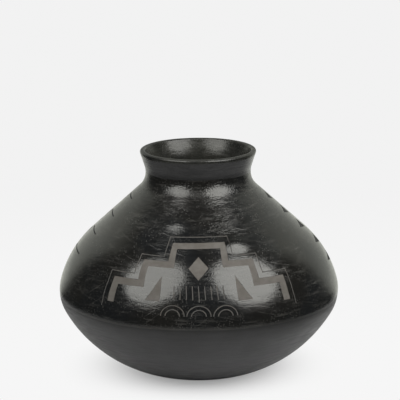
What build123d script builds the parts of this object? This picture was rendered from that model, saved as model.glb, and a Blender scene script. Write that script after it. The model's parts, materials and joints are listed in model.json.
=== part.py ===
"""Pueblo blackware jar: a coil-built clay wall with its joins, and the coats of slip over it.

Millimetres, +Z up. The origin is the centre of the face that the jar stands on.
"""

import os

from build123d import *

# Outer line of the jar, from the foot up to the lip
jar_height = 200.0
base_radius = 44.5  # where base and bowl would meet if the foot were sharp
foot_round = 30.0
belly_radius = 125.0
belly_height = 73.5
belly_turn_radius = 32.5
belly_turn_below = 28.75  # degrees of the belly's turn under its widest point
belly_turn_above = 14.5  # degrees of the belly's turn over its widest point
shoulder_radius = 90.0
neck_round = 18.5
rim_radius = 52.3
flare_width = 8.4  # how far the rim stands out from the neck's corner, were that sharp
flare_height = 25.8  # how far the rim stands over that corner

# Wall, lip and slip
wall_thickness = 4.8
lip_flat = 0.4  # wall left level between the two rounded edges of the lip
slip_thickness = 0.4  # a coat with the seat under it
slip_seat = 0.1  # kept free between the curved faces of a coat and its clay

# Clay pieces, measured along the outer line
base_rise = 36.0  # wall that the base brings with it out of its mould
belly_coil_width = 24.0  # wall that one rolled coil makes once it is pinched thin
bowl_coils = 3
shoulder_coils = 5
join_lap = 4.0  # how far each coil laps down inside the one below it
join_reach = 2.0  # how many wall thicknesses the cut of a join runs past the wall

# Borders between the finishes
bare_foot_height = 1.2
polish_below_belly = 3.9  # burnish that runs down past the widest line
lip_polish_width = 4.0  # burnish that shows outside, under the top of the lip
neck_band_width = 15.0  # matte band under it
mouth_polish_depth = 29.5  # burnish inside the neck, from the top of the lip down

# What follows from these sizes
belly_point = (belly_radius, belly_height)
neck_corner = (rim_radius - flare_width, jar_height - flare_height)
lip_round = (wall_thickness - lip_flat) / 2
polish_low_height = belly_height - polish_below_belly
lip_polish_height = jar_height - lip_polish_width
polish_high_height = lip_polish_height - neck_band_width
mouth_polish_height = jar_height - mouth_polish_depth
beyond = jar_height + belly_radius  # a reach that ends outside the jar

# The outer line, with X as the distance from the axis and Y as the height
with BuildLine() as outer_line:
    base = Line((0, 0), (base_radius, 0))
    belly_low = JernArc(belly_point, (0, -1), belly_turn_radius, -belly_turn_below)
    bowl = TangentArc(belly_low @ 1, base @ 1, tangent=belly_low % 1)
    belly_high = JernArc(belly_point, (0, 1), belly_turn_radius, belly_turn_above)
    shoulder_sweep = JernArc(
        belly_high @ 1, belly_high % 1, shoulder_radius, 90, mode=Mode.PRIVATE
    )
    shoulder_line = ConstrainedLines(
        shoulder_sweep, neck_corner, selector=lambda lines: lines.sort_by(Axis.X)[-1]
    ).edge()
    shoulder_start = shoulder_line.vertices().sort_by(Axis.Y)[0].center()
    shoulder_arc = TangentArc(belly_high @ 1, shoulder_start, tangent=belly_high % 1)
    flare = Line(neck_corner, (rim_radius, jar_height))
    fillet(outer_line.vertices().sort_by_distance(neck_corner)[0], radius=neck_round)
    fillet(outer_line.vertices().sort_by_distance(base @ 1)[0], radius=foot_round)
outer_wire = outer_line.wire()


def wall_band(depth):
    """Half section of the wall from its outer line down to a depth."""
    with BuildSketch() as band:
        with BuildLine():
            add(outer_wire.offset_2d(depth, side=Side.LEFT))
        make_face()
    return band.sketch


def level(low, high):
    """Everything from the axis out between two heights."""
    with BuildSketch() as slab:
        with Locations((0, low)):
            Rectangle(beyond, high - low, align=(Align.MIN, Align.MIN))
    return slab.sketch


def with_lip(band, height, radius):
    """A band of the wall, made level at a height, with both edges of its lip rounded."""
    with BuildSketch() as lipped:
        add(band)
        add(level(height, height + beyond), mode=Mode.SUBTRACT)
        fillet(lipped.vertices().group_by(Axis.Y)[-1], radius=radius)
    return lipped.sketch


# The finished wall
wall_section = with_lip(wall_band(wall_thickness), jar_height, lip_round)
outer_half = wall_band(wall_thickness / 2)


def skin(depth):
    """Half section of the wall's skin: its outside, its inside and the lip between them."""
    with BuildSketch() as core:
        add(wall_band(wall_thickness - depth))
        add(wall_band(depth), mode=Mode.SUBTRACT)
    with BuildSketch() as shell:
        add(wall_section)
        add(with_lip(core.sketch, jar_height - depth, lip_round - depth), mode=Mode.SUBTRACT)
    return shell.sketch


def outer_coat(depth, low, high):
    """Half section of a coat on the outside of the wall, between two heights."""
    with BuildSketch() as coat:
        add(skin(depth))
        add(outer_half, mode=Mode.INTERSECT)
        add(level(low, high), mode=Mode.INTERSECT)
    return coat.sketch


def mouth_coat(depth):
    """Half section of the coat that runs over the lip and down inside the neck."""
    with BuildSketch() as below_lip:
        add(outer_half)
        add(level(0, lip_polish_height), mode=Mode.INTERSECT)
    with BuildSketch() as coat:
        add(skin(depth))
        add(level(mouth_polish_height, beyond), mode=Mode.INTERSECT)
        add(below_lip.sketch, mode=Mode.SUBTRACT)
    return coat.sketch


def coats_of(depth):
    """Half sections of all the coats, down to a depth."""
    return {
        "matte_bowl_slip": outer_coat(depth, bare_foot_height, polish_low_height),
        "polished_shoulder_slip": outer_coat(depth, polish_low_height, polish_high_height),
        "matte_neck_slip": outer_coat(depth, polish_high_height, lip_polish_height),
        "polished_mouth_slip": mouth_coat(depth),
    }


# The clay is what the coats and their seats leave of the wall
with BuildSketch() as clay_section:
    add(wall_section)
    for bed in coats_of(slip_thickness).values():
        add(bed, mode=Mode.SUBTRACT)


def join_at(distance):
    """Both ends, past the wall, of the slanted join at a distance along the outer line."""
    point = outer_wire.position_at(distance, position_mode=PositionMode.LENGTH)
    along = outer_wire.tangent_at(distance, position_mode=PositionMode.LENGTH)
    inward = along.rotate(Axis.Z, 90)
    slant = inward * wall_thickness - along * join_lap
    return point - slant * join_reach, point + slant * (1 + join_reach)


def coil_row(name, count, start, end):
    """Where each of the coils that share a stretch of the outer line starts and ends."""
    step = (end - start) / count
    return {f"{name}_{i + 1}": (start + i * step, start + (i + 1) * step) for i in range(count)}


# Where each coil starts and ends along the outer line
neck_edge, rim_edge = outer_line.edges().sort_by(Axis.Y)[-2:]
belly_distance = base.length + bowl.length + belly_low.length
base_top = base.length + base_rise
belly_bottom = belly_distance - belly_coil_width / 2
belly_top = belly_distance + belly_coil_width / 2
neck_top = outer_wire.length - rim_edge.length
neck_bottom = neck_top - neck_edge.length
coil_joins = {
    **coil_row("bowl_coil", bowl_coils, base_top, belly_bottom),
    "belly_coil": (belly_bottom, belly_top),
    **coil_row("shoulder_coil", shoulder_coils, belly_top, neck_bottom),
    "neck_coil": (neck_bottom, neck_top),
}

# Each coil is its stretch of the clay; the base and the rim are what lies past the end joins
sections = {}
with BuildSketch() as end_sections:
    add(clay_section.sketch)
    for name, (start, end) in coil_joins.items():
        start_out, start_in = join_at(start)
        end_out, end_in = join_at(end)
        with BuildSketch(mode=Mode.PRIVATE) as stretch:
            with BuildLine():
                Polyline(start_out, end_out, end_in, start_in, close=True)
            make_face()
        with BuildSketch(mode=Mode.PRIVATE) as coil_section:
            add(clay_section.sketch)
            add(stretch.sketch, mode=Mode.INTERSECT)
        sections[name] = coil_section.sketch
        add(stretch.sketch, mode=Mode.SUBTRACT)
sections["moulded_base"], sections["rim_coil"] = end_sections.faces().sort_by(Axis.Y)
sections.update(coats_of(slip_thickness - slip_seat))

# Every piece is its half section turned about the axis
os.makedirs("parts", exist_ok=True)
for name, section in sections.items():
    with BuildPart() as piece:
        with BuildSketch(Plane.XZ):
            add(section)
        revolve(axis=Axis.Z)
    piece.part.label = name
    export_step(piece.part, f"parts/{name}.step")
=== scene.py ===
"""Looks of a coil-built blackware jar: coats of slip, a scratched design, finishes and a studio."""

import json
import math
from bisect import bisect_right

import bpy
from bpy.props import FloatProperty, FloatVectorProperty, IntProperty, PointerProperty
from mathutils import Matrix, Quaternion, Vector


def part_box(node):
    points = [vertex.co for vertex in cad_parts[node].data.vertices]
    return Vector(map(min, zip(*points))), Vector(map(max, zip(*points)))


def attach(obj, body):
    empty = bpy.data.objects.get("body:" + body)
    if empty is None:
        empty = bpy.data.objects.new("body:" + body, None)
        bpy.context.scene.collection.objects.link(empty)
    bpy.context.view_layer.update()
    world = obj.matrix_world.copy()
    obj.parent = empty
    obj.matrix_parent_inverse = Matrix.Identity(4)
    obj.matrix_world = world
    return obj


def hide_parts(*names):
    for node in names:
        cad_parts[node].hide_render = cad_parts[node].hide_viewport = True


bl_info = {
    "name": "Blackware jar",
    "version": (1, 0, 0),
    "blender": (4, 5, 0),
    "location": "View3D > Sidebar > Jar",
    "description": "Lays the slip, the design, the finishes and the studio on a coil-built jar",
    "category": "Object",
}

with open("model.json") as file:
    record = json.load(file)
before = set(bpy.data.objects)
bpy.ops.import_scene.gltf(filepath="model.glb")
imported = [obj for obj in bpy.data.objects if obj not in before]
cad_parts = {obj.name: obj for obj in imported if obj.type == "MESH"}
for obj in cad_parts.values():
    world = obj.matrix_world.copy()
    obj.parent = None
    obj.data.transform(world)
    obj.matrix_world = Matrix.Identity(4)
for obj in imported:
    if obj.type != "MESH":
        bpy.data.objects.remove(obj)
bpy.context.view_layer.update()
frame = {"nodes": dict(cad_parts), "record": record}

MM = 0.001
HAIR = 0.002 * MM  # points of a sheet that are closer than this are one
CLAY_NODES = [
    row["node"] for row in frame["record"]["subparts"] if row["material_slot"] == "clay"
]


def number(name, description, default, **more):
    """A number, with its unit or subtype where it has one."""
    return FloatProperty(name=name, description=description, default=default, **more)


def share(name, description, default):
    """A share of something, with 1 for the whole of it."""
    return number(name, description, default, subtype="FACTOR", min=0, soft_max=1)


def count(name, description, default):
    """How many there are of something."""
    return IntProperty(name=name, description=description, default=default, min=1)


def length(name, description, default):
    """A size or a place, in metres."""
    return number(name, description, default, unit="LENGTH", precision=5)


def angle(name, description, degrees):
    """An angle, given in degrees and kept in radians."""
    return number(name, description, math.radians(degrees), subtype="ANGLE")


def colour(name, description, default):
    """A colour, as the shader reads it."""
    return FloatVectorProperty(
        name=name, description=description, default=default, subtype="COLOR", min=0, max=1
    )


class JarShape(bpy.types.PropertyGroup):
    """The line of the wall, the borders between its finishes and the marks of the hand."""

    height: length("Height", "From the floor to the top of the lip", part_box("polished_mouth_slip")[1].z)
    base_radius: length("Base radius", "Where base and bowl would meet at a sharp foot", 44.5 * MM)
    foot_round: length("Foot round", "Radius of the foot's edge", 30 * MM)
    belly_radius: length("Belly radius", "Widest radius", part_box("polished_shoulder_slip")[1].x)
    belly_height: length("Belly height", "Height of the widest line", 73.5 * MM)
    belly_turn_radius: length("Belly turn", "Radius of the belly's round turn", 32.5 * MM)
    belly_turn_below: angle("Turn below", "Turn of the belly under its widest line", 28.75)
    belly_turn_above: angle("Turn above", "Turn of the belly over its widest line", 14.5)
    shoulder_radius: length("Shoulder round", "Radius of the curve over the belly's turn", 90 * MM)
    neck_round: length("Neck round", "Radius of the drawn-in neck", 18.5 * MM)
    rim_radius: length("Rim radius", "Radius of the flared rim", 52.3 * MM)
    flare_width: length("Flare width", "How far the rim stands out from the neck's corner", 8.4 * MM)
    flare_height: length("Flare height", "How far the rim stands over the neck's corner", 25.8 * MM)
    wall: length("Wall", "Thickness of the wall", 4.8 * MM)
    lip_flat: length("Lip flat", "Wall left level between the rounded edges of the lip", 0.4 * MM)
    slip: length("Slip", "Thickness of a coat of slip", 0.3 * MM)
    foot_border: length("Foot border", "Lowest slip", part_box("matte_bowl_slip")[0].z)
    low_border: length("Low border", "Lower edge of the burnish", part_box("polished_shoulder_slip")[0].z)
    high_border: length("High border", "Lower edge of the neck band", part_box("matte_neck_slip")[0].z)
    lip_border: length("Lip border", "Upper edge of the neck band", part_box("matte_neck_slip")[1].z)
    mouth_border: length("Mouth border", "Lowest burnish inside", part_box("polished_mouth_slip")[0].z)
    facet: length("Facets", "How far the burnishing stone pressed the surface in", 0.1 * MM)
    drift: length("Drift", "How far the hand strays along a line", 0.45 * MM)
    swell: length("Swell", "How far a thumb inside pressed the wall out", 0.8 * MM)
    swell_edge: share("Swell edge", "Share of a swell that its faint edge leaves out", 0.1)
    swell_left: angle("Left swell", "Place of the left swell round the jar", -12)
    swell_right: angle("Right swell", "Place of the right swell round the jar", 21)
    swell_high: length("High swell", "Height of the left swell", 149 * MM)
    swell_low: length("Low swell", "Height of the right swell", 134 * MM)
    swell_rise: length("Swell rise", "Reach of a swell up and down the wall", 7 * MM)
    swell_width: length("Swell width", "Reach of a swell round the jar", 12 * MM)
    neck_swell: share("Neck swell", "Share of a swell in those under the neck", 0.6)
    neck_swell_place: angle("Neck swell place", "Place of those swells, to each side", 17)
    neck_swell_height: length("Neck swell height", "Height of those swells", 168 * MM)
    belly_swell: share("Belly swell", "Share of a swell in the broad one under the belly", 1.6)
    belly_swell_place: angle("Belly swell place", "Place of the broad swell round the jar", 44)
    belly_swell_height: length("Belly swell height", "Height of the broad swell", 60 * MM)
    belly_swell_rise: length("Belly swell rise", "Reach of the broad swell up and down", 13 * MM)
    belly_swell_width: length("Belly swell width", "Reach of the broad swell round the jar", 60 * MM)
    mouth_swell: share("Mouth swell", "Share of a swell in the ring inside the lip", 1)
    mouth_swell_height: length("Mouth swell height", "Height of that ring", 190.5 * MM)
    columns: count("Columns", "Faces round the jar", 288)


class JarDesign(bpy.types.PropertyGroup):
    """The design scratched through the burnish."""

    sheet_radius: length("Sheet radius", "Radius at which the flat design is as wide as drawn", 110 * MM)
    seam: angle("Seam", "Where the flat sheet closes behind the flank", 108)
    band_width: length("Band width", "Width of the scraped bands", 6.2 * MM)
    line_width: length("Line width", "Width of the scratched lines", 0.85 * MM)
    band_depth: length("Band depth", "Depth of the scraped bands", 0.2 * MM)
    line_depth: length("Line depth", "Depth of the scratched lines", 0.25 * MM)
    tooth_place: angle("Tooth place", "Where the teeth on the right flank have their points", 81.5)
    tooth_reach: length("Tooth reach", "Length of a tooth round the jar", 21 * MM)
    tooth_height: length("Tooth height", "Height of a tooth at its root", 11 * MM)
    tooth_start: length("Tooth start", "From the burnish's border up to the lowest point", 34.3 * MM)
    tooth_pitch: length("Tooth pitch", "From one tooth to the next", 19.3 * MM)
    tooth_count: count("Teeth", "Teeth up the right flank", 5)
    chevron_place: angle("Chevron place", "Where the chevrons on the left flank start", -74)
    chevron_rise: length("Chevron rise", "From a chevron's start up to its top", 1.5 * MM)
    chevron_near: length("Chevron near leg", "Reach round the jar of a chevron's near leg", 34 * MM)
    chevron_far: length("Chevron far leg", "Reach round the jar of a chevron's far leg", 10 * MM)
    chevron_drop: length("Chevron drop", "From a chevron's top down to its far end", 9 * MM)
    chevron_line: length("Chevron line", "Width of the cut that makes a chevron", 1.3 * MM)
    chevron_start: length("Chevron start", "From the burnish's border up to the lowest start", 46 * MM)
    chevron_pitch: length("Chevron pitch", "From one chevron to the next", 22.5 * MM)
    chevron_count: count("Chevrons", "Chevrons up the left flank", 4)


class JarFinish(bpy.types.PropertyGroup):
    """Colours and wear of the slip, the scratched clay and the wall."""

    polished: colour("Polished", "Burnished slip of the shoulder", (0.0065, 0.0062, 0.0056))
    polished_cloud: colour("Polished cloud", "Blue-black smoke in the burnish", (0.0055, 0.006, 0.0066))
    # Partly painted light: the mouth's slip has its own browner tone, and it is also made paler to paint
    # in the light that the inside of the neck catches.
    mouth: colour("Mouth", "Burnished slip of the mouth", (0.017, 0.017, 0.0138))
    gloss_tint: colour("Gloss tint", "Colour of the burnish's reflections", (1, 0.995, 0.94))
    matte: colour("Matte", "Unburnished slip", (0.0085, 0.0084, 0.0083))
    matte_cloud: colour("Matte cloud", "Paler smoke in the unburnished slip", (0.014, 0.0138, 0.014))
    scraped: colour("Scraped", "Clay that the bands lay bare", (0.066, 0.059, 0.05))
    scraped_dust: colour("Scraped dust", "Pale dust in the bands", (0.085, 0.078, 0.068))
    scratched: colour("Scratched", "Clay in the thin lines", (0.05, 0.048, 0.044))
    # Painted shade: the teeth and chevrons are coloured near black so that they stay dark against the
    # pale sheen at the flanks, a darkness that comes from the matte cuts catching less grazing
    # reflection.
    notch_shade: colour("Notched", "Clay in the teeth and chevrons, painted near black as shade", (0.012, 0.0118, 0.011))
    clay: colour("Clay", "Smoked clay of the wall", (0.03, 0.0285, 0.027))
    clay_pale: colour("Pale clay", "Scraped places of the wall", (0.05, 0.047, 0.043))
    scratch_wear: share("Scratch wear", "Share of bare clay that shows in a scratch", 0.3)
    skip_dust: share("Skip dust", "Share of dust that shows where the stone skipped", 0.65)
    burnish_wear: share("Burnish wear", "Share of matte slip along the burnish's border", 0.3)
    matte_wear: share("Matte wear", "Share of burnish along the matte slip's border", 0.7)
    border_reach: length("Border reach", "How far the worn border on the belly reaches", 4 * MM)
    lip_reach: length("Lip reach", "How far the worn edge of the lip reaches", 3 * MM)
    coarse_start: length("Coarse start", "Height at which the burnish starts to coarsen", 135 * MM)
    coarse_end: length("Coarse end", "Height from which the burnish is coarsest", 170 * MM)
    coarse_low: number("Coarse low", "How coarse the burnish is on the belly", 0.35)
    coarse_high: number("Coarse high", "How coarse the burnish is at the neck", 1.3)


class JarStudio(bpy.types.PropertyGroup):
    """Camera, floor, lights and room."""

    aim: FloatVectorProperty(
        name="Aim",
        description="Point that the camera looks at",
        default=(1.5 * MM, 0, 153.16 * MM),
        subtype="TRANSLATION",
        unit="LENGTH",
    )
    distance: length("Distance", "From the camera to its aim", 1.6893)
    elevation: angle("Elevation", "Camera above the horizon", 13.06)
    roll: angle("Roll", "How far the camera leans to the right", 0.35)
    lens: number("Lens", "Focal length in millimetres", 170.72, unit="CAMERA")
    box_aim: length("Softbox aim", "Height on the axis that the softboxes face", 0.1)
    box_distance: length("Softbox distance", "From that height to each softbox", 1.4)
    box_elevation: angle("Softbox elevation", "Each softbox above the horizon", 42.5)
    left_azimuth: angle("Left azimuth", "Left softbox, from the camera round to the right", -47.5)
    left_width: length("Left width", "Width of the left softbox", 1.12)
    left_height: length("Left height", "Height of the left softbox", 1.28)
    left_power: number("Left power", "Watts of the left softbox", 19, unit="POWER")
    right_azimuth: angle("Right azimuth", "Right softbox, from the camera round to the right", 50)
    right_width: length("Right width", "Width of the right softbox", 1.25)
    right_height: length("Right height", "Height of the right softbox", 1.36)
    right_power: number("Right power", "Watts of the right softbox", 27, unit="POWER")
    floor_radius: length("Floor radius", "Reach of the floor", 3)
    paper: colour("Paper", "Floor under the jar", (0.75, 0.75, 0.75))
    paper_start: length("Paper start", "Where reflections of the lit paper start to fade", 0.18)
    paper_end: length("Paper end", "Where reflections show only the room's floor", 0.36)
    ground: colour("Ground", "Pale floor round the jar", (0.922, 0.922, 0.922))
    ground_start: length("Ground start", "Where the ground starts to fade into the background", 0.1)
    ground_end: length("Ground end", "Where the ground has become the background", 0.8)
    backdrop: colour("Backdrop", "Pale background", (0.887, 0.887, 0.887))
    shadow: share("Shadow", "Share of lit paper in the floor under the jar", 0.8)
    shadow_start: length("Shadow start", "Where the lit paper starts to fade into the ground", 0.02)
    shadow_end: length("Shadow end", "Where the shadow has faded away", 0.13)
    room_tint: colour("Room tint", "Colour of the light from the room", (0.98, 1, 0.91))
    room_dark: number("Dark room", "Level of the room in front of the jar", 0.05)
    room_pale: number("Pale room", "Level of the backdrop behind the jar", 0.68)
    floor_pale: number("Pale floor", "Level of the floor behind the jar", 0.8)
    room_turn: angle("Room turn", "How far the backdrop reaches round to the right", 4)
    room_tilt: angle("Room tilt", "Height of the backdrop's middle over the horizon", 26)
    room_core: angle("Room core", "How far from its middle the backdrop is full", 45.17)
    room_edge: angle("Room edge", "How far from its middle the backdrop has faded away", 60.66)


class WallLine:
    """The line of the wall in runs of line and arc: up from the foot, over the lip and down inside."""

    def __init__(self, shape):
        quarter = math.pi / 2
        belly = Vector((shape.belly_radius, shape.belly_height))
        belly_centre = belly - Vector((shape.belly_turn_radius, 0))

        # Foot and bowl
        bowl_heading = quarter - shape.belly_turn_below
        bowl_end = belly_centre + shape.belly_turn_radius * self.right_of(bowl_heading)
        corner = Vector((shape.base_radius, 0))
        chord = bowl_end - corner
        half_turn = bowl_heading - math.atan2(chord.y, chord.x)
        bowl_radius = chord.length / (2 * math.sin(half_turn))
        bowl_centre = bowl_end - bowl_radius * self.right_of(bowl_heading)
        foot_drop = bowl_centre.y - shape.foot_round
        foot_reach = math.sqrt((bowl_radius - shape.foot_round) ** 2 - foot_drop**2)
        foot_heading = math.atan2(foot_reach, foot_drop)

        # Shoulder
        shoulder_start = quarter + shape.belly_turn_above
        belly_end = belly_centre + shape.belly_turn_radius * self.right_of(shoulder_start)
        shoulder_centre = belly_end - shape.shoulder_radius * self.right_of(shoulder_start)
        neck = Vector((shape.rim_radius - shape.flare_width, shape.height - shape.flare_height))
        to_neck = neck - shoulder_centre
        slope = math.sqrt(to_neck.length_squared - shape.shoulder_radius**2)
        shoulder_turn = math.atan2(shape.shoulder_radius, slope)
        shoulder_heading = math.atan2(to_neck.y, to_neck.x) + shoulder_turn

        # Neck and lip
        flare_heading = math.atan2(shape.flare_height, shape.flare_width)
        neck_turn = shoulder_heading - flare_heading
        neck_trim = shape.neck_round * math.tan(neck_turn / 2)
        flare = math.hypot(shape.flare_width, shape.flare_height) - neck_trim
        lip_round = (shape.wall - shape.lip_flat) / 2
        lip_turn = math.pi - flare_heading
        outer_trim = lip_round * math.tan(lip_turn / 2)
        inner_trim = lip_round * math.tan(flare_heading / 2)
        lip_width = shape.wall / math.sin(flare_heading)
        inner_flare = flare - shape.wall / math.tan(flare_heading)

        self.runs = []
        self.starts = []
        self.end = 0.0
        self.point = Vector((bowl_centre.x + foot_reach, 0))
        self.heading = 0.0
        self.arc(shape.foot_round, foot_heading)
        self.arc(bowl_radius, bowl_heading - foot_heading)
        self.arc(shape.belly_turn_radius, shape.belly_turn_below + shape.belly_turn_above)
        self.arc(shape.shoulder_radius, shoulder_heading - shoulder_start)
        self.line(slope - neck_trim)
        self.arc(-shape.neck_round, -neck_turn)
        self.line(flare - outer_trim)
        self.arc(lip_round, lip_turn)
        self.lip_top = self.end
        self.line(lip_width - outer_trim - inner_trim)
        self.arc(lip_round, flare_heading)
        self.line(inner_flare - inner_trim)
        self.arc(shape.neck_round + shape.wall, neck_turn)

        self.low_border = self.distance_at(shape.low_border)
        self.swells = self.find_swells(shape)

    @staticmethod
    def right_of(heading):
        """Unit step to the right of a heading, which is out of the wall."""
        return Vector((math.sin(heading), -math.cos(heading)))

    def run(self, reach, bend):
        """Adds a run of a given length and bend, and moves on to its end."""
        self.runs.append((self.point.x, self.point.y, self.heading, bend))
        self.starts.append(self.end)
        self.end += reach
        radius, height, self.heading = self.at(self.end)
        self.point = Vector((radius, height))

    def line(self, reach):
        """Adds a straight run."""
        self.run(reach, 0.0)

    def arc(self, radius, turn):
        """Adds a round run, to the left for a positive radius and turn."""
        self.run(radius * turn, 1 / radius)

    def at(self, distance):
        """Radius, height and heading at a distance along the line."""
        index = max(bisect_right(self.starts, distance) - 1, 0)
        radius, height, heading, bend = self.runs[index]
        along = distance - self.starts[index]
        if bend == 0:
            return radius + along * math.cos(heading), height + along * math.sin(heading), heading
        turned = heading + bend * along
        return (
            radius + (math.sin(turned) - math.sin(heading)) / bend,
            height + (math.cos(heading) - math.cos(turned)) / bend,
            turned,
        )

    def distance_at(self, height, inside=False, halvings=50):
        """Distance along the line at which it has a height, outside the wall or inside the neck."""
        low, high = (self.end, self.lip_top) if inside else (0.0, self.lip_top)
        for _ in range(halvings):
            middle = (low + high) / 2
            if self.at(middle)[1] < height:
                low = middle
            else:
                high = middle
        return (low + high) / 2

    def find_swells(self, shape):
        """Each swell of the wall: its turn, its place on the line, its share, width and rise."""
        thumb = (shape.swell_width, shape.swell_rise)
        palm = (shape.belly_swell_width, shape.belly_swell_rise)
        ring = (math.inf, shape.swell_rise)
        neck = self.distance_at(shape.neck_swell_height)
        belly = self.distance_at(shape.belly_swell_height)
        mouth = self.distance_at(shape.mouth_swell_height, inside=True)
        return [
            (shape.swell_left, self.distance_at(shape.swell_high), 1.0, *thumb),
            (shape.swell_right, self.distance_at(shape.swell_low), 1.0, *thumb),
            (-shape.neck_swell_place, neck, shape.neck_swell, *thumb),
            (shape.neck_swell_place, neck, shape.neck_swell, *thumb),
            (shape.belly_swell_place, belly, shape.belly_swell, *palm),
            (0.0, mouth, shape.mouth_swell, *ring),
        ]


def facets(turn, distance):
    """How far the burnishing stone pressed the wall in at a place, from 0 to 1."""
    up = distance / MM
    # Four waves that cross: the share of each, its lobes round the jar and its length up the wall
    waves = (
        0.34 * math.sin(6 * turn + 1.1 + 1.4 * math.sin(up / 23))
        + 0.26 * math.sin(17 * turn - up / 11 + 0.6)
        + 0.22 * math.sin(up / 5.5 + 2.2 * math.sin(4 * turn + 0.3))
        + 0.18 * math.sin(29 * turn + up / 6.5 + 1.7 * math.sin(3 * turn))
    )
    return 0.5 + 0.5 * waves


def swelling(wall, shape, turn, distance):
    """How far the wall swells out at a place, in metres."""
    total = 0.0
    for middle_turn, middle, amount, width, rise in wall.swells:
        across = (turn - middle_turn) * wall.at(middle)[0] / width
        along = (distance - middle) / rise
        total += amount * max(math.exp(-(across**2) - along**2) - shape.swell_edge, 0)
    return shape.swell * total


def on_wall(wall, shape, turn, distance, depth):
    """The point of the jar at a turn round its axis, a distance along its line and a depth."""
    up = distance / MM
    # Two waves each, from -1 to 1, that carry the hand up and round
    stray_up = 0.55 * math.sin(3 * turn + 0.8) + 0.45 * math.sin(8 * turn + up / 17 + 1.9)
    stray_round = 0.6 * math.sin(up / 9.5 + 2 * turn) + 0.4 * math.sin(up / 4.3 + 5 * turn + 0.5)
    radius, height, heading = wall.at(distance + stray_up * shape.drift)
    turned = turn + stray_round * shape.drift / radius
    pressed = shape.facet * facets(turn, distance) - swelling(wall, shape, turn, distance)
    inset = depth + (1 - depth / shape.slip) * pressed
    radius -= inset * math.sin(heading)
    height += inset * math.cos(heading)
    return Vector((radius * math.sin(turned), -radius * math.cos(turned), height))


def way_out(wall, shape, turn, distance):
    """Normal of the jar's surface at a point of the flat sheet."""
    step_round, step_up = 0.002, 0.2 * MM  # in radians and metres
    here = on_wall(wall, shape, turn, distance, 0)
    round_jar = on_wall(wall, shape, turn + step_round, distance, 0) - here
    up_jar = on_wall(wall, shape, turn, distance + step_up, 0) - here
    return round_jar.cross(up_jar).normalized()


def only(piece):
    """Leaves one object selected and active."""
    bpy.ops.object.select_all(action="DESELECT")
    piece.select_set(True)
    bpy.context.view_layer.objects.active = piece


def copy_of(piece):
    """A copy of a piece with a mesh of its own."""
    copy = piece.copy()
    copy.data = piece.data.copy()
    return copy


def discard(piece):
    """Takes a piece and its mesh out of the file."""
    mesh = piece.data
    bpy.data.objects.remove(piece)
    bpy.data.meshes.remove(mesh)


def edit_whole(piece, operator, **settings):
    """Runs a mesh operator in edit mode on the whole of a piece."""
    only(piece)
    bpy.ops.object.mode_set(mode="EDIT")
    bpy.ops.mesh.select_all(action="SELECT")
    operator(**settings)
    bpy.ops.object.mode_set(mode="OBJECT")


def apply_modifier(piece, kind, **settings):
    """Adds a modifier to a piece and applies it."""
    only(piece)
    modifier = piece.modifiers.new(kind.lower(), kind)
    for name, value in settings.items():
        setattr(modifier, name, value)
    bpy.ops.object.modifier_apply(modifier=modifier.name)


def cut(piece, operation, tool):
    """Cuts one piece by another, and gives the cut faces the other's material."""
    apply_modifier(
        piece, "BOOLEAN", operation=operation, solver="EXACT", object=tool, material_mode="TRANSFER"
    )


def lay_sheet(name, start, end, rows, material):
    """A flat sheet of slip, as long as the jar is round and as high as a stretch of the wall's line."""
    scene = bpy.context.scene
    shape, design = scene.jar_shape, scene.jar_design
    round_length = 2 * math.pi * design.sheet_radius
    bpy.ops.object.select_all(action="DESELECT")
    bpy.ops.mesh.primitive_grid_add(
        x_subdivisions=shape.columns,
        y_subdivisions=rows,
        size=1,
        location=(design.seam * design.sheet_radius - round_length / 2, (start + end) / 2, 0),
        scale=(1, 1, 1),
    )
    sheet = bpy.context.object
    sheet.name = name
    sheet.data.name = name
    sheet.scale = (round_length, end - start, 1)
    bpy.ops.object.transform_apply(location=True, rotation=True, scale=True)
    sheet.data.materials.append(material)
    apply_modifier(sheet, "SOLIDIFY", thickness=shape.slip, offset=-1)
    return sheet


def stroke(points, width):
    """Outline of a stroke of even width along points, with mitred corners."""
    left, right = [], []
    for i, point in enumerate(points):
        before = (point - points[i - 1]).normalized() if i else None
        after = (points[i + 1] - point).normalized() if i + 1 < len(points) else None
        before, after = before or after, after or before
        across = Vector((-before.y, before.x)) + Vector((-after.y, after.x))
        reach = across * (width / across.length_squared)
        left.append(point + reach)
        right.append(point - reach)
    return left + right[::-1]


def arch(centre, radius, steps=18):
    """Points of a half circle that stands on its centre's height."""
    turns = [math.pi * (1 - i / steps) for i in range(steps + 1)]
    return [centre + radius * Vector((math.cos(turn), math.sin(turn))) for turn in turns]


def mirrored(points):
    """The same points on the other side of the panel's middle line."""
    return [Vector((-point.x, point.y)) for point in points]


def placed(outlines, across, up):
    """Outlines moved to a place on the sheet."""
    return [[point + Vector((across, up)) for point in outline] for outline in outlines]


def at_mm(*pairs):
    """Points from pairs of millimetres."""
    return [Vector(pair) * MM for pair in pairs]


def panel_bands(design):
    """Outlines of one panel's scraped bands: a stepped cloud, its wings and a diamond."""
    steps = at_mm((0, 76), (25, 76), (25, 57), (49, 57), (49, 38), (73, 38), (73, 19))
    cloud = mirrored(steps[:0:-1]) + steps[1:]
    wing = at_mm((31, 46), (31, 24), (43, 24))
    diamond = at_mm((0, 65), (9, 54), (0, 43), (-9, 54))
    return [stroke(cloud, design.band_width), wing, mirrored(wing), diamond]


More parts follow.
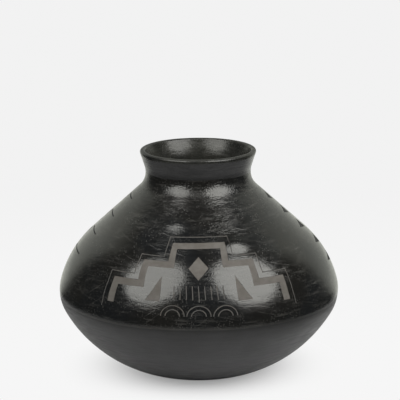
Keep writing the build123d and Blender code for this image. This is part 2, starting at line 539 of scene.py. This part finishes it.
def panel_lines(design):
    """Outlines of one panel's thin lines: the cloud's second edge, rain arches and rain."""
    arch_middles, arch_radii, arch_foot = (-20, 0, 20), (9, 5.5), 12
    rain_columns, rain_pitch, rain_top, rain_foot, middle_foot = range(-4, 5), 5, 38, 26, 24
    steps = at_mm((33, 85), (33, 65), (57, 65), (57, 46), (81, 46), (81, 14))
    lines = [mirrored(steps[::-1]) + steps]
    for middle in arch_middles:
        lines += [arch(Vector((middle, arch_foot)) * MM, radius * MM) for radius in arch_radii]
    for column in rain_columns:
        x = column * rain_pitch
        foot = rain_foot if column else middle_foot
        lines.append(at_mm((x, rain_top), (x, foot)))
    return [stroke(line, design.line_width) for line in lines]


def flank_teeth(design):
    """Outlines of the row of teeth up the right flank, each with its point to the front."""
    x, half = design.tooth_place * design.sheet_radius, design.tooth_height / 2
    root = x + design.tooth_reach
    rows = [design.tooth_start + i * design.tooth_pitch for i in range(design.tooth_count)]
    return [[Vector((x, y)), Vector((root, y + half)), Vector((root, y - half))] for y in rows]


def flank_chevrons(design):
    """Outlines of the row of thin chevrons up the left flank."""
    start = Vector((design.chevron_place * design.sheet_radius, design.chevron_start))
    top = start + Vector((-design.chevron_near, design.chevron_rise))
    end = top - Vector((design.chevron_far, design.chevron_drop))
    outline = stroke([start, top, end], design.chevron_line)
    return [placed([outline], 0, i * design.chevron_pitch)[0] for i in range(design.chevron_count)]


def engrave(sheet, blank, outlines, depth, material):
    """Cuts flat outlines into a sheet to a depth, and gives the cut its own material."""
    reach = 1 * MM  # how far the tools stand over the sheet
    curve = bpy.data.curves.new("cutter", "CURVE")
    curve.dimensions = "2D"
    curve.fill_mode = "BOTH"
    curve.extrude = 2 * reach
    for outline in outlines:
        spline = curve.splines.new("POLY")
        spline.points.add(len(outline) - 1)
        for point, place in zip(spline.points, outline):
            point.co = (place.x, place.y, 0, 1)
        spline.use_cyclic_u = True
    cutter = bpy.data.objects.new("cutter", curve)
    bpy.context.collection.objects.link(cutter)
    only(cutter)
    bpy.ops.object.convert(target="MESH")
    cutter = bpy.context.object
    edit_whole(cutter, bpy.ops.mesh.remove_doubles, threshold=HAIR / 2)
    edit_whole(cutter, bpy.ops.mesh.normals_make_consistent, inside=False)

    plug = copy_of(blank)
    bpy.context.collection.objects.link(plug)
    for vertex in plug.data.vertices:
        vertex.co.z = -depth if vertex.co.z < -depth / 2 else reach
    for tool in (cutter, plug):
        tool.data.materials.clear()
        tool.data.materials.append(material)
    cut(plug, "INTERSECT", cutter)
    cut(sheet, "DIFFERENCE", plug)
    discard(cutter)
    discard(plug)


def open_ends(sheet, design):
    """Takes off the end faces, where the seam will close, and cuts the rest into triangles."""
    right = design.seam * design.sheet_radius
    left = right - 2 * math.pi * design.sheet_radius
    only(sheet)
    bpy.ops.object.mode_set(mode="EDIT")
    bpy.ops.mesh.select_mode(type="FACE")
    bpy.ops.mesh.select_all(action="DESELECT")
    bpy.ops.object.mode_set(mode="OBJECT")
    for face in sheet.data.polygons:
        face.select = min(abs(face.center.x - right), abs(face.center.x - left)) < HAIR
    bpy.ops.object.mode_set(mode="EDIT")
    bpy.ops.mesh.delete(type="FACE")
    bpy.ops.object.mode_set(mode="OBJECT")
    triangulate = bpy.ops.mesh.quads_convert_to_tris
    edit_whole(sheet, triangulate, quad_method="SHORTEST_DIAGONAL", ngon_method="BEAUTY")


def bend(sheet, wall, shape, design):
    """Bends a flat sheet onto the wall and joins its seam; its flat places stay as its UV map."""
    mesh = sheet.data
    for loop in mesh.loops:
        flat = mesh.vertices[loop.vertex_index].co
        mesh.uv_layers.active.data[loop.index].uv = (flat.x, flat.y)
    for face in mesh.polygons:
        depths = [mesh.vertices[i].co.z for i in face.vertices]
        face.use_smooth = max(depths) - min(depths) < HAIR and max(depths) > HAIR - shape.slip
    for vertex in mesh.vertices:
        flat = vertex.co.copy()
        vertex.co = on_wall(wall, shape, flat.x / design.sheet_radius, flat.y, -flat.z)
    edit_whole(sheet, bpy.ops.mesh.remove_doubles, threshold=HAIR)


def smooth(sheet, wall, shape, design, digits=7):
    """Gives a bent sheet's smooth faces the normals of the jar's own surface."""
    mesh = sheet.data
    normals = [Vector((0, 0, 0))] * len(mesh.loops)
    known = {}
    for face in mesh.polygons:
        if not face.use_smooth:
            continue
        for index in face.loop_indices:
            flat = mesh.uv_layers.active.data[index].uv
            key = (round(flat.x, digits), round(flat.y, digits))
            if key not in known:
                known[key] = way_out(wall, shape, flat.x / design.sheet_radius, flat.y)
            outward = known[key]
            normals[index] = outward if outward.dot(face.normal) > 0 else -outward
    mesh.normals_split_custom_set(normals)


def wrap(sheet, wall):
    """Closes a flat sheet round the jar."""
    shape, design = bpy.context.scene.jar_shape, bpy.context.scene.jar_design
    open_ends(sheet, design)
    bend(sheet, wall, shape, design)
    smooth(sheet, wall, shape, design)
    return sheet


def finish_piece(piece, node):
    """Sets a finished coat on the jar in place of its CAD node."""
    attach(piece, "root")
    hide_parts(node)


def add_node(tree, kind, inputs=None, **settings):
    """Adds a node, with its settings, and with values or links for its inputs."""
    node = tree.nodes.new(kind)
    for name, value in settings.items():
        setattr(node, name, value)
    for name, value in (inputs or {}).items():
        socket = node.inputs[name]
        if isinstance(value, bpy.types.NodeSocket):
            tree.links.new(value, socket)
        else:
            socket.default_value = value
    return node


def coordinates(tree, kind):
    """Coordinates of the place that is shaded."""
    return add_node(tree, "ShaderNodeTexCoord").outputs[kind]


def calc(tree, operation, *values):
    """The result of a sum on numbers."""
    return add_node(tree, "ShaderNodeMath", dict(enumerate(values)), operation=operation).outputs[0]


def vector_calc(tree, operation, *values, output="Vector"):
    """The result of a sum on vectors."""
    node = add_node(tree, "ShaderNodeVectorMath", dict(enumerate(values)), operation=operation)
    return node.outputs[output]


def stretched(tree, place, x=1, y=1, z=1):
    """A place with each of its coordinates multiplied."""
    factors = add_node(tree, "ShaderNodeCombineXYZ", {"X": x, "Y": y, "Z": z}).outputs[0]
    return vector_calc(tree, "MULTIPLY", place, factors)


def noise(tree, place, fineness, detail, roughness):
    """Soft noise from 0 to 1 over places."""
    inputs = {"Vector": place, "Scale": fineness, "Detail": detail, "Roughness": roughness}
    return add_node(tree, "ShaderNodeTexNoise", inputs).outputs["Fac"]


def ranged(tree, value, low, high, start=0, end=1):
    """A number that goes evenly from low to high while a value goes from start to end."""
    inputs = {"Value": value, "From Min": start, "From Max": end, "To Min": low, "To Max": high}
    return add_node(tree, "ShaderNodeMapRange", inputs).outputs[0]


def smooth_step(tree, value, start, end):
    """A number that goes softly from 0 to 1 while a value goes from start to end."""
    inputs = {"Value": value, "From Min": start, "From Max": end}
    return add_node(tree, "ShaderNodeMapRange", inputs, interpolation_type="SMOOTHSTEP").outputs[0]


def blended(tree, part, first, second):
    """A number between two, by the part of the second."""
    return add_node(tree, "ShaderNodeMix", {0: part, 2: first, 3: second}, data_type="FLOAT").outputs[0]


def blend_colour(tree, part, first, second):
    """A colour between two, by the part of the second."""
    mix = add_node(tree, "ShaderNodeMix", {0: part}, data_type="RGBA")
    for socket, value in ((mix.inputs[6], first), (mix.inputs[7], second)):
        if isinstance(value, bpy.types.NodeSocket):
            tree.links.new(value, socket)
        else:
            socket.default_value = (*value, 1)
    return mix.outputs[2]


def mix_shaders(tree, part, first, second):
    """A shader between two, by the part of the second."""
    return add_node(tree, "ShaderNodeMixShader", {0: part, 1: first.outputs[0], 2: second.outputs[0]})


def bumped(tree, heights):
    """One normal from several heights, each with the depth that it stands for in metres."""
    normal = None
    for height, depth in heights:
        bump = add_node(tree, "ShaderNodeBump", {"Height": height, "Distance": depth, "Strength": 1})
        if normal:
            tree.links.new(normal, bump.inputs["Normal"])
        normal = bump.outputs[0]
    return normal


def node_group(name, inputs, output):
    """A new shader node group with number inputs and one number output: its tree, and both ends."""
    tree = bpy.data.node_groups.new(name, "ShaderNodeTree")
    for label, value in inputs.items():
        socket = tree.interface.new_socket(label, in_out="INPUT", socket_type="NodeSocketFloat")
        socket.default_value = value
    tree.interface.new_socket(output, in_out="OUTPUT", socket_type="NodeSocketFloat")
    given = tree.nodes.new("NodeGroupInput").outputs
    return tree, given, tree.nodes.new("NodeGroupOutput").inputs[output]


def strokes_group(name):
    """Long level strokes of a stone or brush: streaks much finer in height than round the jar."""
    inputs = {"Fineness": 100, "Flatness": 10, "Low": 0.35, "High": 0.65}
    tree, given, result = node_group(name, inputs, "Strokes")
    level = stretched(tree, coordinates(tree, "Object"), z=given["Flatness"])
    streaks = noise(tree, level, given["Fineness"], detail=2, roughness=0.5)
    tree.links.new(smooth_step(tree, streaks, given["Low"], given["High"]), result)
    return tree


def pits_group(name):
    """Scattered pits: a share of the cells of a cell pattern each holds one round pit."""
    tree, given, result = node_group(name, {"Fineness": 400, "Share": 0.2, "Size": 0.35}, "Pits")
    inputs = {"Vector": coordinates(tree, "Object"), "Scale": given["Fineness"]}
    cells = add_node(tree, "ShaderNodeTexVoronoi", inputs).outputs
    picked = add_node(tree, "ShaderNodeSeparateColor", {0: cells["Color"]}).outputs[0]
    held = calc(tree, "LESS_THAN", picked, given["Share"])
    pit = smooth_step(tree, cells["Distance"], given["Size"], 0)
    tree.links.new(calc(tree, "MULTIPLY", held, pit), result)
    return tree


def clouds_group(name):
    """Smoke clouds of the firing: soft patches."""
    inputs = {"Fineness": 18, "Detail": 5, "Low": 0.4, "High": 0.65}
    tree, given, result = node_group(name, inputs, "Clouds")
    place = coordinates(tree, "Object")
    patches = noise(tree, place, given["Fineness"], given["Detail"], roughness=0.55)
    tree.links.new(smooth_step(tree, patches, given["Low"], given["High"]), result)
    return tree


def scratches_group(name):
    """Thin scratches, all at one slant: the few highest crests of slanting streaks."""
    crest = 0.08  # from where a scratch starts to where it is full
    inputs = {"Fineness": 30, "Flatness": 30, "Slant": 0.5, "Low": 0.66}
    tree, given, result = node_group(name, inputs, "Scratches")
    inputs = {"Vector": coordinates(tree, "UV"), "Angle": given["Slant"]}
    slanted = add_node(tree, "ShaderNodeVectorRotate", inputs, rotation_type="Z_AXIS").outputs[0]
    level = stretched(tree, slanted, y=given["Flatness"])
    streaks = noise(tree, level, given["Fineness"], detail=1, roughness=0.5)
    high = calc(tree, "ADD", given["Low"], crest)
    tree.links.new(smooth_step(tree, streaks, given["Low"], high), result)
    return tree


def border_group(name):
    """Worn border between two finishes: 1 at its place up the wall, with ragged sides."""
    tree, given, result = node_group(name, {"Place": 0.1, "Reach": 0.004}, "Border")
    up_wall = add_node(tree, "ShaderNodeSeparateXYZ", {0: coordinates(tree, "UV")}).outputs["Y"]
    rags = noise(tree, coordinates(tree, "Object"), fineness=130, detail=4, roughness=0.65)
    away = calc(tree, "ABSOLUTE", calc(tree, "SUBTRACT", up_wall, given["Place"]))
    ragged = calc(tree, "SUBTRACT", rags, calc(tree, "DIVIDE", away, given["Reach"]))
    tree.links.new(smooth_step(tree, ragged, start=-0.35, end=0.25), result)
    return tree


GROUPS = {
    "hand_strokes": strokes_group,
    "pits": pits_group,
    "smoke_clouds": clouds_group,
    "scratches": scratches_group,
    "worn_border": border_group,
}


def place_group(tree, name, **values):
    """Places a node group in a material with its own values; its first use builds it."""
    node = tree.nodes.new("ShaderNodeGroup")
    node.node_tree = bpy.data.node_groups.get(name) or GROUPS[name](name)
    for label, value in values.items():
        node.inputs[label].default_value = value
    return node.outputs[0]


def new_finish(name):
    """An empty finish: its material, its node tree and its shader."""
    material = bpy.data.materials.new(name)
    material.use_nodes = True
    return material, material.node_tree, material.node_tree.nodes["Principled BSDF"]


def join_finish(tree, shader, base, roughness, normal):
    """Links colour, roughness and normal to a finish's shader."""
    tree.links.new(base, shader.inputs["Base Color"])
    tree.links.new(roughness, shader.inputs["Roughness"])
    tree.links.new(normal, shader.inputs["Normal"])


def polished_finish(
    name, slip, gloss, dullness, coarseness, border_place, border_reach, border_roughness
):
    """Stone-burnished slip: near black and glossy, with strokes, skips, pits and scratches."""
    coarse_roughness, dust_roughness = 0.07, 0.3
    finish = bpy.context.scene.jar_finish
    material, tree, shader = new_finish(name)
    clouds = place_group(tree, "smoke_clouds", Fineness=16)
    strokes = place_group(tree, "hand_strokes", Fineness=110, Flatness=5)
    hairs = place_group(tree, "hand_strokes", Fineness=240, Flatness=5)
    grain = place_group(tree, "smoke_clouds", Fineness=720, Detail=0, Low=0.3, High=0.7)
    pits = place_group(tree, "pits", Fineness=520, Share=0.35, Size=0.4)
    rising = place_group(tree, "scratches", Fineness=24, Flatness=30, Slant=0.3, Low=0.68)
    falling = place_group(tree, "scratches", Fineness=30, Flatness=26, Slant=-0.7, Low=0.68)
    specks = place_group(tree, "pits", Fineness=560, Share=0.7, Size=0.53)
    skips = place_group(tree, "hand_strokes", Fineness=54, Flatness=8, Low=0.5, High=0.8)
    patches = place_group(tree, "smoke_clouds", Fineness=50, Low=0.34, High=0.62)
    border = place_group(tree, "worn_border", Place=border_place, Reach=border_reach)
    scratches = calc(tree, "MAXIMUM", rising, falling)
    dust = calc(tree, "MULTIPLY", calc(tree, "MAXIMUM", specks, skips), patches)
    height = add_node(tree, "ShaderNodeSeparateXYZ", {0: coordinates(tree, "Object")}).outputs["Z"]
    coarse = ranged(
        tree,
        height,
        low=finish.coarse_low * coarseness,
        high=finish.coarse_high * coarseness,
        start=finish.coarse_start,
        end=finish.coarse_end,
    )

    bare = calc(tree, "MULTIPLY", scratches, finish.scratch_wear)
    dusted = calc(tree, "MULTIPLY", dust, finish.skip_dust)
    rubbed = calc(tree, "MULTIPLY", border, finish.burnish_wear)
    smoked = blend_colour(tree, clouds, slip, finish.polished_cloud)
    worn = blend_colour(tree, bare, smoked, finish.scratched)
    dusty = blend_colour(tree, dusted, worn, finish.scratched)
    base = blend_colour(tree, rubbed, dusty, finish.matte)

    even = ranged(tree, strokes, low=0.08 + dullness, high=0.17 + dullness)
    stroked = calc(tree, "MULTIPLY_ADD", coarse, coarse_roughness, even)
    roughness = blended(tree, border, blended(tree, dust, stroked, dust_roughness), border_roughness)

    normal = bumped(
        tree,
        [
            (calc(tree, "MULTIPLY", strokes, coarse), 0.042 * MM),
            (hairs, 0.01 * MM),
            (calc(tree, "MULTIPLY", grain, coarse), 0.045 * MM),
            (calc(tree, "MULTIPLY", pits, coarse), -0.05 * MM),
            (scratches, -0.02 * MM),
        ],
    )
    join_finish(tree, shader, base, roughness, normal)
    shader.inputs["Specular IOR Level"].default_value = gloss
    shader.inputs["Specular Tint"].default_value = (*finish.gloss_tint, 1)
    return material


def matte_finish(name, wall, gloss, smoothest, roughest, sheen):
    """Unburnished slip: dark grey and dull, with wiped strokes and some dusty sheen."""
    finish = bpy.context.scene.jar_finish
    material, tree, shader = new_finish(name)
    clouds = place_group(tree, "smoke_clouds", Fineness=24)
    strokes = place_group(tree, "hand_strokes", Fineness=70, Flatness=9)
    grit = place_group(tree, "pits", Fineness=700, Share=0.3, Size=0.4)
    border = place_group(tree, "worn_border", Place=wall.low_border, Reach=finish.border_reach)
    smoked = blend_colour(tree, clouds, finish.matte, finish.matte_cloud)
    rubbed = calc(tree, "MULTIPLY", border, finish.matte_wear)
    base = blend_colour(tree, rubbed, smoked, finish.polished)
    roughness = ranged(tree, strokes, smoothest, roughest)
    normal = bumped(tree, [(strokes, 0.025 * MM), (grit, -0.04 * MM)])
    join_finish(tree, shader, base, roughness, normal)
    shader.inputs["Specular IOR Level"].default_value = gloss
    shader.inputs["Sheen Weight"].default_value = sheen
    return material


def scraped_finish(name, first, second):
    """Clay laid bare by scraping: matte, with short dry scratches."""
    material, tree, shader = new_finish(name)
    clouds = place_group(tree, "smoke_clouds", Fineness=130, Low=0.35, High=0.7)
    scratches = place_group(tree, "hand_strokes", Fineness=300, Flatness=3)
    base = blend_colour(tree, clouds, first, second)
    roughness = ranged(tree, scratches, low=0.75, high=0.9)
    normal = bumped(tree, [(scratches, 0.04 * MM)])
    join_finish(tree, shader, base, roughness, normal)
    return material


def clay_finish(name):
    """Smoked clay of the wall inside and under the foot: scraped level, with grit."""
    finish = bpy.context.scene.jar_finish
    material, tree, shader = new_finish(name)
    clouds = place_group(tree, "smoke_clouds", Fineness=30)
    strokes = place_group(tree, "hand_strokes", Fineness=60, Flatness=6)
    grit = place_group(tree, "pits", Fineness=500, Share=0.3, Size=0.4)
    base = blend_colour(tree, clouds, finish.clay, finish.clay_pale)
    roughness = ranged(tree, strokes, low=0.75, high=0.9)
    normal = bumped(tree, [(strokes, 0.15 * MM), (grit, -0.08 * MM)])
    join_finish(tree, shader, base, roughness, normal)
    return material


class JAR_OT_clay_wall(bpy.types.Operator):
    """Give the base, the coils and the rim their scraped clay"""

    bl_idname = "jar.clay_wall"
    bl_label = "Clay wall"

    def execute(self, context):
        material = clay_finish("smoked_clay")
        for name in CLAY_NODES:
            for holder in frame["nodes"][name].material_slots:
                holder.material = material
        return {"FINISHED"}


class JAR_OT_bowl_slip(bpy.types.Operator):
    """Lay the unburnished slip on the bowl"""

    bl_idname = "jar.bowl_slip"
    bl_label = "Bowl slip"

    def execute(self, context):
        shape = context.scene.jar_shape
        wall = WallLine(shape)
        start = wall.distance_at(shape.foot_border)
        slip = matte_finish(
            "wiped_bowl_slip", wall, gloss=0.32, smoothest=0.36, roughest=0.45, sheen=0
        )
        coat = wrap(lay_sheet("bowl_coat", start, wall.low_border, rows=52, material=slip), wall)
        finish_piece(coat, "matte_bowl_slip")
        return {"FINISHED"}


class JAR_OT_shoulder_slip(bpy.types.Operator):
    """Lay the burnished slip on the shoulder and scratch the design through it"""

    bl_idname = "jar.shoulder_slip"
    bl_label = "Shoulder slip"

    def execute(self, context):
        scene = context.scene
        shape, design, finish = scene.jar_shape, scene.jar_design, scene.jar_finish
        wall = WallLine(shape)
        start, end = wall.low_border, wall.distance_at(shape.high_border)
        burnish = polished_finish(
            "burnished_slip",
            finish.polished,
            gloss=0.5,
            dullness=0,
            coarseness=1,
            border_place=start,
            border_reach=finish.border_reach,
            border_roughness=0.33,
        )
        coat = lay_sheet("shoulder_coat", start, end, rows=78, material=burnish)
        blank = copy_of(coat)
        front, back = 0, -math.pi * design.sheet_radius
        bands, lines = [], []
        for across in (front, back):
            bands += placed(panel_bands(design), across, start)
            lines += placed(panel_lines(design), across, start)
        notches = placed(flank_teeth(design) + flank_chevrons(design), front, start)
        scraped = scraped_finish("scraped_clay_band", finish.scraped, finish.scraped_dust)
        scratched = scraped_finish("scratched_clay_line", finish.scratched, finish.scraped)
        # Painted shade: the notch colour is near black to stand in for the grazing sheen that the matte
        # cuts lack.
        notch_shade = scraped_finish("smoked_clay_notch", finish.notch_shade, finish.matte)
        engrave(coat, blank, bands, design.band_depth, scraped)
        engrave(coat, blank, lines, design.line_depth, scratched)
        engrave(coat, blank, notches, design.line_depth, notch_shade)
        discard(blank)
        wrap(coat, wall)
        finish_piece(coat, "polished_shoulder_slip")
        return {"FINISHED"}


class JAR_OT_neck_band(bpy.types.Operator):
    """Lay the unburnished band round the neck"""

    bl_idname = "jar.neck_band"
    bl_label = "Neck band"

    def execute(self, context):
        shape = context.scene.jar_shape
        wall = WallLine(shape)
        start, end = wall.distance_at(shape.high_border), wall.distance_at(shape.lip_border)
        slip = matte_finish(
            "wiped_neck_slip", wall, gloss=0.35, smoothest=0.24, roughest=0.36, sheen=0.2
        )
        coat = wrap(lay_sheet("neck_coat", start, end, rows=14, material=slip), wall)
        finish_piece(coat, "matte_neck_slip")
        return {"FINISHED"}


class JAR_OT_mouth_slip(bpy.types.Operator):
    """Lay the burnished slip over the lip and down inside the neck"""

    bl_idname = "jar.mouth_slip"
    bl_label = "Mouth slip"

    def execute(self, context):
        shape, finish = context.scene.jar_shape, context.scene.jar_finish
        wall = WallLine(shape)
        start = wall.distance_at(shape.lip_border)
        end = wall.distance_at(shape.mouth_border, inside=True)
        # The mouth colour is partly painted light: it is paler than the shoulder's to paint in the light
        # inside the neck.
        burnish = polished_finish(
            "burnished_mouth",
            finish.mouth,
            gloss=0.35,
            dullness=0.1,
            coarseness=0.5,
            border_place=wall.lip_top,
            border_reach=finish.lip_reach,
            border_roughness=0.5,
        )
        coat = wrap(lay_sheet("mouth_coat", start, end, rows=84, material=burnish), wall)
        finish_piece(coat, "polished_mouth_slip")
        return {"FINISHED"}


def from_side(azimuth, elevation, distance):
    """A place at a distance from the origin, with azimuth 0 in front and turning to the right."""
    level = distance * math.cos(elevation)
    height = distance * math.sin(elevation)
    return Vector((level * math.sin(azimuth), -level * math.cos(azimuth), height))


def backdrop_level(tree, studio, direction, pale):
    """Level of the room in a direction: dark in front of the jar, pale behind and over it."""
    middle = from_side(math.pi - studio.room_turn, studio.room_tilt, 1)
    facing = vector_calc(tree, "DOT_PRODUCT", direction, middle, output="Value")
    lit = smooth_step(tree, facing, math.cos(studio.room_edge), math.cos(studio.room_core))
    return ranged(tree, lit, studio.room_dark, pale)


def paper_finish(studio):
    """Pale floor: lit paper under the jar, an even pale ground round it, and the room in reflections."""
    material = bpy.data.materials.new("paper_floor")
    material.use_nodes = True
    tree = material.node_tree
    tree.nodes.clear()
    place = coordinates(tree, "Object")
    seen = add_node(tree, "ShaderNodeLightPath").outputs["Is Camera Ray"]
    away = vector_calc(tree, "LENGTH", place, output="Value")
    level = backdrop_level(tree, studio, vector_calc(tree, "NORMALIZE", place), studio.floor_pale)
    far = smooth_step(tree, away, studio.ground_start, studio.ground_end)
    pale = blend_colour(tree, far, studio.ground, studio.backdrop)
    lit = add_node(tree, "ShaderNodeBsdfDiffuse", {"Color": (*studio.paper, 1)})
    even = add_node(tree, "ShaderNodeEmission", {"Color": pale, "Strength": 1})
    room = add_node(tree, "ShaderNodeEmission", {"Color": (*studio.room_tint, 1), "Strength": level})
    near = mix_shaders(tree, studio.shadow, even, lit)
    unshaded = smooth_step(tree, away, studio.shadow_start, studio.shadow_end)
    unlit = smooth_step(tree, away, studio.paper_start, studio.paper_end)
    seen_floor = mix_shaders(tree, unshaded, near, even)
    unseen_floor = mix_shaders(tree, unlit, lit, room)
    floor = mix_shaders(tree, seen, unseen_floor, seen_floor)
    add_node(tree, "ShaderNodeOutputMaterial", {"Surface": floor.outputs[0]})
    return material


def room_world(studio):
    """A pale ground for the camera; for all else a dim room with a pale backdrop behind the jar."""
    world = bpy.data.worlds.new("studio_room")
    world.use_nodes = True
    tree = world.node_tree
    tree.nodes.clear()
    seen = add_node(tree, "ShaderNodeLightPath").outputs["Is Camera Ray"]
    level = backdrop_level(tree, studio, coordinates(tree, "Generated"), studio.room_pale)
    room = add_node(tree, "ShaderNodeBackground", {"Color": (*studio.room_tint, 1), "Strength": level})
    even = add_node(tree, "ShaderNodeBackground", {"Color": (*studio.backdrop, 1), "Strength": 1})
    surface = mix_shaders(tree, seen, room, even)
    add_node(tree, "ShaderNodeOutputWorld", {"Surface": surface.outputs[0]})
    return world


class JAR_OT_studio(bpy.types.Operator):
    """Set the floor, the two softboxes, the room and the camera"""

    bl_idname = "jar.studio"
    bl_label = "Studio"

    def execute(self, context):
        scene = context.scene
        studio = scene.jar_studio
        bpy.ops.object.select_all(action="DESELECT")
        bpy.ops.mesh.primitive_circle_add(vertices=96, radius=studio.floor_radius, fill_type="NGON")
        floor = context.object
        floor.name = "floor"
        floor.data.materials.append(paper_finish(studio))

        middle = Vector((0, 0, studio.box_aim))
        for side in ("left", "right"):
            azimuth = getattr(studio, f"{side}_azimuth")
            place = middle + from_side(azimuth, studio.box_elevation, studio.box_distance)
            bpy.ops.object.light_add(type="AREA", location=place)
            softbox = context.object
            softbox.name = f"softbox_{side}"
            softbox.data.shape = "ELLIPSE"
            softbox.data.size = getattr(studio, f"{side}_width")
            softbox.data.size_y = getattr(studio, f"{side}_height")
            softbox.data.energy = getattr(studio, f"{side}_power")
            softbox.rotation_euler = (middle - place).to_track_quat("-Z", "Y").to_euler()
            softbox.visible_camera = False

        scene.world = room_world(studio)
        aim = Vector(studio.aim)
        place = aim + from_side(0, studio.elevation, studio.distance)
        bpy.ops.object.camera_add(location=place)
        camera = context.object
        camera.name = "camera"
        facing = (aim - place).to_track_quat("-Z", "Y")
        camera.rotation_euler = (facing @ Quaternion((0, 0, 1), -studio.roll)).to_euler()
        camera.data.sensor_width = 36
        camera.data.lens = studio.lens
        camera.data.clip_end = 20
        scene.camera = camera
        scene.view_settings.view_transform = "Standard"
        return {"FINISHED"}


PIECES = (
    JAR_OT_clay_wall,
    JAR_OT_bowl_slip,
    JAR_OT_shoulder_slip,
    JAR_OT_neck_band,
    JAR_OT_mouth_slip,
    JAR_OT_studio,
)
SETTINGS = {
    "jar_shape": JarShape,
    "jar_design": JarDesign,
    "jar_finish": JarFinish,
    "jar_studio": JarStudio,
}


class JAR_PT_sidebar(bpy.types.Panel):
    """Lists the jar's pieces, its stage and their settings."""

    bl_idname = "JAR_PT_sidebar"
    bl_label = "Blackware jar"
    bl_space_type = "VIEW_3D"
    bl_region_type = "UI"
    bl_category = "Jar"

    def draw(self, context):
        for piece in PIECES:
            self.layout.operator(piece.bl_idname)
        for name in SETTINGS:
            settings = getattr(context.scene, name)
            box = self.layout.box()
            for key in settings.__annotations__:
                box.prop(settings, key)


def register():
    """Registers the settings, the operators and the panel."""
    for name, settings in SETTINGS.items():
        bpy.utils.register_class(settings)
        setattr(bpy.types.Scene, name, PointerProperty(type=settings))
    for piece in PIECES:
        bpy.utils.register_class(piece)
    bpy.utils.register_class(JAR_PT_sidebar)


def unregister():
    """Takes the panel, the operators and the settings out again."""
    bpy.utils.unregister_class(JAR_PT_sidebar)
    for piece in reversed(PIECES):
        bpy.utils.unregister_class(piece)
    for name, settings in SETTINGS.items():
        delattr(bpy.types.Scene, name)
        bpy.utils.unregister_class(settings)


def main():
    """Makes the jar's pieces and its studio."""
    register()
    bpy.ops.object.select_all(action="DESELECT")
    bpy.ops.jar.clay_wall()
    bpy.ops.jar.bowl_slip()
    bpy.ops.jar.shoulder_slip()
    bpy.ops.jar.neck_band()
    bpy.ops.jar.mouth_slip()
    bpy.ops.jar.studio()


if __name__ == "__main__":
    main()
